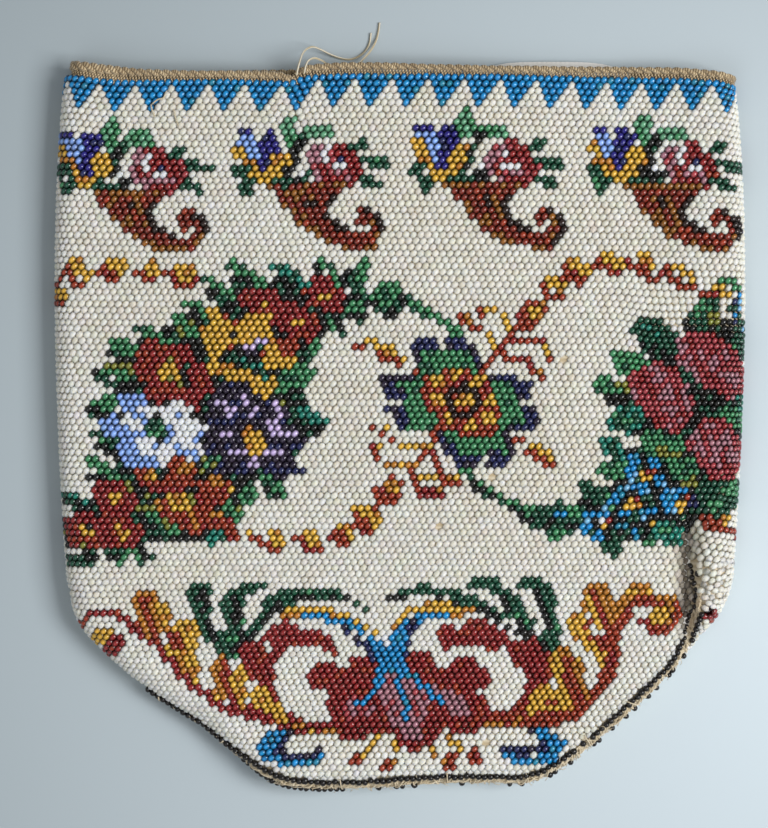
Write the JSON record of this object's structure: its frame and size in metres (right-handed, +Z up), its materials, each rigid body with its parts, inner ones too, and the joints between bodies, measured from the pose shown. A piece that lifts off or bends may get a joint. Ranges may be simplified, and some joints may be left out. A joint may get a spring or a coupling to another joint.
{
  "type": "reticule",
  "caption": "Flat bead-knitted handbag with a crocheted rim, a slanted foot closed by a beaded seam, and a cotton lining; holds small things.",
  "frame": {"origin": "on the surface that the bag lies on, under the middle of the bag", "axes": "+X across the bag to the right of its front, +Y towards its mouth, +Z up through its front"},
  "size_m": [0.1726, 0.193, 0.0115],
  "materials": {
    "ivory_beads": "knitted with chalk-white glass seed beads, coloured glass beads in the motifs",
    "white_cotton": "plain-woven cotton",
    "tan_thread": "crocheted and sewn twisted thread, yellowed",
    "dark_beads": "glossy opaque glass beads",
    "cream_thread": "twisted cotton thread, unravelling"
  },
  "bodies": {
    "root": {"beaded_bag": "ivory_beads", "lining": "white_cotton", "crochet_rim": "tan_thread", "front_edge_beads": "dark_beads", "back_edge_beads": "dark_beads", "seam_stitching": "tan_thread", "thread_end_long": "cream_thread", "thread_end_short": "cream_thread"}
  },
  "joints": []
}
